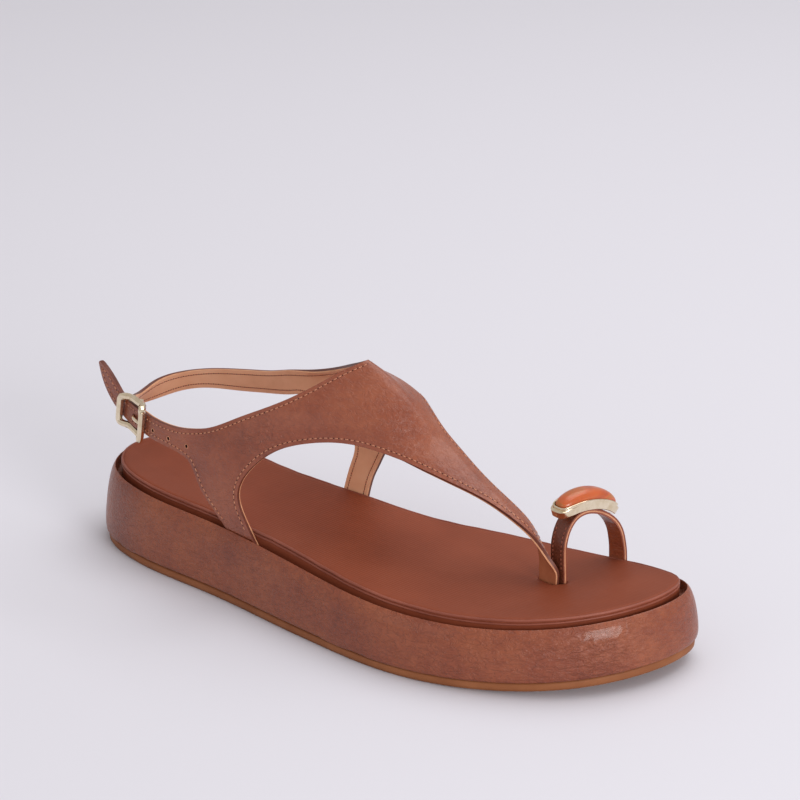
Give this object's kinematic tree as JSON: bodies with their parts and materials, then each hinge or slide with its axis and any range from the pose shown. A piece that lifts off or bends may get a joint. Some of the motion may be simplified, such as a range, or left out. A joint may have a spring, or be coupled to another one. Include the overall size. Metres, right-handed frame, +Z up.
{
  "type": "flatform sandal",
  "caption": "Right flatform sandal with a leather-wrapped platform, a high vamp that runs down between the toes, a buckled ankle strap and a toe ring with a domed stone.",
  "frame": {"origin": "on the floor under the heel, on the centre line, 35 mm in front of the heel's end", "axes": "+X from the heel to the toe, +Y to the medial (inner) side, +Z up"},
  "size_m": [0.255, 0.0924, 0.0953],
  "materials": {
    "outsole": "tan-brown moulded rubber, satin",
    "midsole": "brown-tan tumbled leather wrap, soft sheen",
    "footbed": "matt brown leather sock",
    "upper": "brown-tan tumbled leather, tan lining",
    "toe_ring": "brown-tan leather, two layers",
    "bezel": "pale gold plate, polished",
    "cabochon": "amber marbled resin, polished",
    "buckle_frame": "pale gold plate, polished",
    "buckle_prong": "pale gold plate, polished"
  },
  "bodies": {
    "root": {"outsole": "outsole", "midsole": "midsole", "footbed": "footbed", "upper": "upper", "toe_ring": "toe_ring", "bezel": "bezel", "cabochon": "cabochon", "buckle_frame": "buckle_frame", "buckle_prong": "buckle_prong"}
  },
  "joints": []
}
